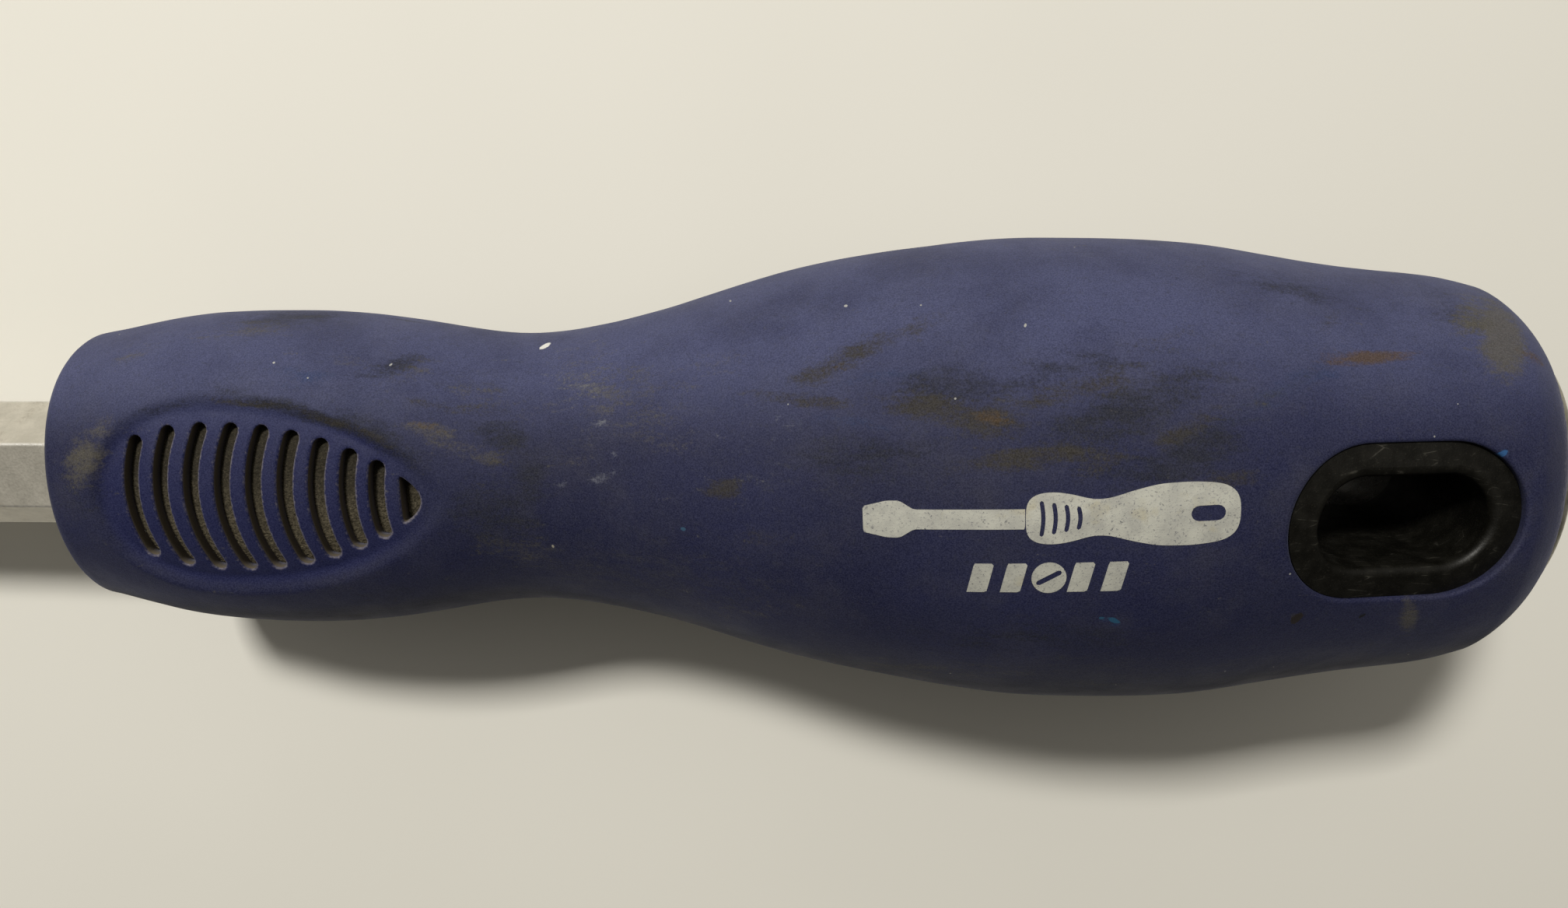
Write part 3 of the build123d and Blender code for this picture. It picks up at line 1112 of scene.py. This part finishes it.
def rubber():
    """Worn navy rubber, dusty and smeared, more saturated where the recess protects it, with a painted
    sheen lightening its +Y flank.
    """
    f = Finish("worn_rubber")
    f.shader.inputs["Specular IOR Level"].default_value = 0.17
    f.shader.inputs["Sheen Weight"].default_value = 0.07
    f.shader.inputs["Sheen Roughness"].default_value = 0.45
    f.shader.inputs["Sheen Tint"].default_value = (0.55, 0.6, 0.95, 1)
    broad = f.noise(14, 3)
    medium = f.noise(3.2, 4, 0.6)
    fine = f.noise(0.28, 3, 0.65)
    grain = f.noise(0.11, 2, 0.7)
    streaks = f.noise(0.9, 5, 0.65, f.moved(0.4, (0.25, 1, 1), (0, 0, 0.3)))
    breakup = f.plus(f.times(streaks, 0.6), f.times(fine, 0.4))
    breakup = f.times(f.minus(breakup, 0.53), 2.6)
    colour = f.mix(f.step(broad, 0.35, 0.65), (0.0080, 0.0097, 0.042), (0.0120, 0.0143, 0.055))
    colour = f.mix(f.step(medium, 0.35, 0.75, 0, 0.5), colour, (0.0155, 0.0175, 0.048))
    hollow = f.painted("hollow")
    colour = f.mix(f.step(hollow, 0.2, 0.9, 0, 0.85), colour, (0.0070, 0.0100, 0.062))
    dust = f.step(f.noise(6, 5, 0.65, f.moved(0.9)), 0.45, 0.72)
    dust = f.times(dust, f.step(hollow, 0.1, 0.8, 0.12, 0.03))
    colour = f.mix(dust, colour, (0.10, 0.095, 0.085))
    # Painted sheen on the +Y flank, broken up by noise.
    flank_sheen = f.times(f.painted("painted_flank_sheen"), f.step(f.noise(9, 4, 0.6, f.moved(1.7)), 0.3, 0.62, 0.55, 1.0))
    colour = f.mix(f.times(flank_sheen, 0.58), colour, (0.086, 0.097, 0.205))
    # Each layer tints the rubber where its smears lie: stains and dirt, and in 'dark' and 'blue' also
    # the painted shade and painted sheen marked above.
    layers = (
        ("ash", (0.038, 0.038, 0.046), 0.6),
        ("blue", (0.018, 0.040, 0.12), 0.6),
        ("dark", (0.0105, 0.0115, 0.019), 0.85),
        ("tan", (0.088, 0.079, 0.054), 0.75),
        ("brown", (0.030, 0.0255, 0.0175), 0.9),
        ("rust", (0.078, 0.045, 0.016), 0.8),
        ("scuff", (0.20, 0.21, 0.25), 0.8),
    )
    covered = None
    for name, tint, most in layers:
        amount = f.step(f.plus(f.painted(name), breakup), 0.2, 1.0, 0, most)
        colour = f.mix(amount, colour, tint)
        covered = amount if covered is None else f.math("MAXIMUM", covered, amount)
    open_skin = f.step(hollow, 0.1, 0.7, 1.0, 0.35)
    mottle = f.step(f.noise(0.45, 5, 0.75, f.moved(3.1)), 0.5, 0.72, 0, 0.34)
    colour = f.mix(f.times(mottle, open_skin), colour, (0.026, 0.027, 0.038))
    darker = f.mix(0.34, colour, (0, 0, 0))
    lighter = f.mix(0.05, colour, (0.30, 0.31, 0.38))
    colour = f.mix(f.step(grain, 0.3, 0.7), darker, lighter)
    specks = f.step(f.cells(2.1, f.moved(0.2)), 0.045, 0.03)
    specks = f.times(specks, f.step(f.noise(5, 1, 0.5, f.moved(2.2)), 0.56, 0.6))
    colour = f.mix(specks, colour, (0.28, 0.28, 0.27))
    for place, tint in SPOTS:
        colour = f.mix(f.spot(*place), colour, tint)
    worn = f.step(f.plus(f.painted("worn"), f.times(f.minus(fine, 0.5), 1.2)), 0.25, 0.95, 0, 0.8)
    colour = f.mix(worn, colour, (0.18, 0.165, 0.18))
    colour = f.mix(f.step(f.painted("dusty"), 0.1, 0.8, 0, 0.9), colour, (0.14, 0.115, 0.072))
    rough = f.plus(f.step(medium, 0.3, 0.7, 0.62, 0.74), f.times(covered, 0.12))
    normal = f.bump(grain, 0.35, 0.05)
    normal = f.bump(f.noise(0.9, 4, 0.6), 0.3, 0.12, normal)
    return f.done(colour, rough, normal)


def ink():
    """Off-white print, rubbed thin and stained."""
    f = Finish("worn_ink", 0.6)
    fine = f.noise(0.16, 3, 0.7)
    colour = f.mix(f.step(f.noise(1.6, 4, 0.6), 0.3, 0.7), (0.44, 0.44, 0.39), (0.34, 0.34, 0.31))
    stains = f.step(f.noise(2.6, 4, 0.6, f.moved(0.6)), 0.56, 0.74, 0, 0.6)
    colour = f.mix(stains, colour, (0.36, 0.33, 0.23))
    colour = f.mix(f.step(fine, 0.55, 0.72, 0, 0.8), colour, (0.10, 0.10, 0.13))
    gaps = f.step(f.noise(0.35, 4, 0.75, f.moved(0.4)), 0.60, 0.68, 0, 0.8)
    colour = f.mix(gaps, colour, (0.05, 0.05, 0.07))
    return f.done(colour, None, f.bump(fine, 0.4, 0.05))


def body_plastic():
    """Black moulded plastic, scuffed on the rings and full of brown dust under the windows, with painted
    shade at the windows' +Y ends and a painted lighter far half inside the slot.
    """
    f = Finish("black_plastic")
    f.shader.inputs["Specular IOR Level"].default_value = 0.22
    fine = f.noise(0.14, 3, 0.65)
    medium = f.noise(1.5, 4, 0.6)
    colour = f.mix(f.step(medium, 0.35, 0.7), (0.0036, 0.0034, 0.0026), (0.0070, 0.0066, 0.0050))
    colour = f.mix(f.step(fine, 0.58, 0.76, 0, 0.35), colour, (0.045, 0.041, 0.031))
    scratches = f.cells(0.9, f.moved(0.1, (0.12, 1, 1), (0, 0, 0.5)), "DISTANCE_TO_EDGE")
    scratches = f.step(scratches, 0.03, 0.0, 0, 0.4)
    colour = f.mix(f.times(scratches, f.step(medium, 0.5, 0.7)), colour, (0.10, 0.095, 0.08))
    apart = f.node("ShaderNodeSeparateXYZ", {"Vector": f.place}).outputs
    across = f.math("ABSOLUTE", f.times(apart["Y"], 1 / MM))
    inside_slot = f.times(f.step(across, 4.1, 3.9), f.step(f.station(), 96, 97))
    # Painted light: the slot's far half, beyond its mid-plane, is made lighter as if lit from below, and
    # glossier.
    painted_lit_far_half = f.times(inside_slot, f.step(apart["Z"], -0.4 * MM, -0.6 * MM))
    colour = f.mix(painted_lit_far_half, colour, (0.030, 0.030, 0.027))
    under_windows = f.step(f.station(), 44, 40)
    grains = f.noise(0.16, 4, 0.75)
    dust = f.mix(f.step(grains, 0.35, 0.68), (0.036, 0.030, 0.019), (0.150, 0.128, 0.086))
    dust = f.mix(f.step(f.noise(1.8, 3, 0.6), 0.35, 0.7, 0, 0.5), dust, (0.034, 0.028, 0.018))
    # Painted shade: the windows' dust is darker towards their +Y ends, where their walls shade it.
    shaded_dust = f.mix(f.step(grains, 0.5, 0.75), (0.012, 0.010, 0.006), (0.05, 0.042, 0.027))
    dust = f.mix(f.step(apart["Y"], -3.4 * MM, 2.6 * MM, 0, 0.85), dust, shaded_dust)
    colour = f.mix(under_windows, colour, dust)
    rough = f.plus(f.step(medium, 0.3, 0.7, 0.36, 0.52), f.times(under_windows, 0.4))
    rough = f.minus(rough, f.times(painted_lit_far_half, 0.16))
    normal = f.bump(fine, 0.3, 0.06)
    normal = f.bump(f.noise(0.3, 2), f.times(under_windows, 0.8), 0.25, normal)
    return f.done(colour, rough, normal)


def blade_steel():
    """Satin forged steel: finely mottled, with bright edges, a ground tip and a few rust specks."""
    f = Finish("satin_steel", 0.4, 0.72)
    along = f.station()
    fine = f.noise(0.2, 4, 0.7)
    medium = f.noise(2.2, 4, 0.6)
    colour = f.mix(f.step(medium, 0.3, 0.7), (0.50, 0.475, 0.415), (0.62, 0.59, 0.52))
    colour = f.mix(f.step(fine, 0.55, 0.8, 0, 0.45), colour, (0.36, 0.34, 0.30))
    round_normal = f.node("ShaderNodeBevel", {"Radius": 0.35 * MM}, samples=6).outputs["Normal"]
    true_normal = f.node("ShaderNodeNewGeometry").outputs["Normal"]
    both = {0: round_normal, 1: true_normal}
    facing = f.node("ShaderNodeVectorMath", both, operation="DOT_PRODUCT").outputs["Value"]
    edges = f.times(f.step(facing, 0.995, 0.93), f.step(fine, 0.3, 0.6, 0.4, 1.0))
    colour = f.mix(edges, colour, (0.86, 0.85, 0.82))
    stains = f.times(f.step(f.noise(5, 5, 0.7, f.moved(0.7)), 0.55, 0.72), f.step(fine, 0.35, 0.6))
    colour = f.mix(f.times(stains, 0.5), colour, (0.24, 0.19, 0.14))
    rust = f.times(f.step(f.noise(0.9, 3, 0.7, f.moved(1.4)), 0.68, 0.76), f.step(medium, 0.5, 0.62))
    colour = f.mix(f.times(rust, 0.8), colour, (0.22, 0.09, 0.04))
    ground = f.step(along, 33 - FRONT, 30 - FRONT)
    lines = f.noise(0.16, 3, 0.6, f.moved(0.0, (1, 0.05, 0.05)))
    colour = f.mix(f.times(ground, f.step(lines, 0.4, 0.7, 0, 0.5)), colour, (0.78, 0.77, 0.75))
    rough = f.plus(f.step(fine, 0.3, 0.7, 0.40, 0.54), f.times(rust, 0.3))
    rough = f.minus(rough, f.times(edges, 0.1))
    normal = f.bump(fine, 0.25, 0.05, round_normal)
    normal = f.bump(lines, f.times(ground, 0.5), 0.05, normal)
    return f.done(colour, rough, normal)


def cap_steel():
    """Dull struck steel with dents, scratches and brown traces."""
    f = Finish("struck_steel", 0.45, 0.9)
    fine = f.noise(0.25, 4, 0.7)
    dents = f.cells(1.7, f.moved(0.3), "SMOOTH_F1")
    big = f.cells(4.3, f.moved(0.8), "SMOOTH_F1")
    colour = f.mix(f.step(f.noise(3.0, 4, 0.6), 0.3, 0.7), (0.33, 0.325, 0.265), (0.47, 0.455, 0.39))
    colour = f.mix(f.step(dents, 0.1, 0.45, 0.45, 0), colour, (0.66, 0.64, 0.58))
    brown = f.step(f.noise(1.6, 5, 0.7, f.moved(0.5)), 0.6, 0.75, 0, 0.7)
    colour = f.mix(brown, colour, (0.17, 0.10, 0.06))
    lines = f.noise(0.2, 3, 0.6, f.moved(0.1, (1, 0.06, 1), (0.7, 0, 0)))
    colour = f.mix(f.step(lines, 0.62, 0.72, 0, 0.5), colour, (0.75, 0.73, 0.68))
    rough = f.step(fine, 0.3, 0.7, 0.34, 0.52)
    normal = f.bump(fine, 0.25, 0.06)
    normal = f.bump(dents, 0.5, 0.2, normal)
    normal = f.bump(big, 0.5, 0.35, normal)
    return f.done(colour, rough, normal)


def core_plastic():
    """The hard plastic round the tang, out of sight."""
    f = Finish("core_plastic", 0.45)
    colour = f.mix(f.step(f.noise(4, 4, 0.6), 0.35, 0.65), (0.30, 0.045, 0.03), (0.36, 0.065, 0.04))
    return f.done(colour, None, f.bump(f.noise(0.6, 3), 0.2, 0.1))


def floor_finish():
    """A plain pale surface."""
    f = Finish("pale_floor", 0.8)
    f.shader.inputs["Specular IOR Level"].default_value = 0.2
    return f.done(f.mix(f.step(f.noise(60, 2), 0.3, 0.7), (0.76, 0.745, 0.69), (0.78, 0.765, 0.71)))


give(grip, rubber())
give(mark, ink())
give(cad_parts["handle_body"], body_plastic())
give(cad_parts["blade"], blade_steel())
give(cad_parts["strike_cap"], cap_steel())
give(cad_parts["inner_core"], core_plastic())
give(floor, floor_finish())
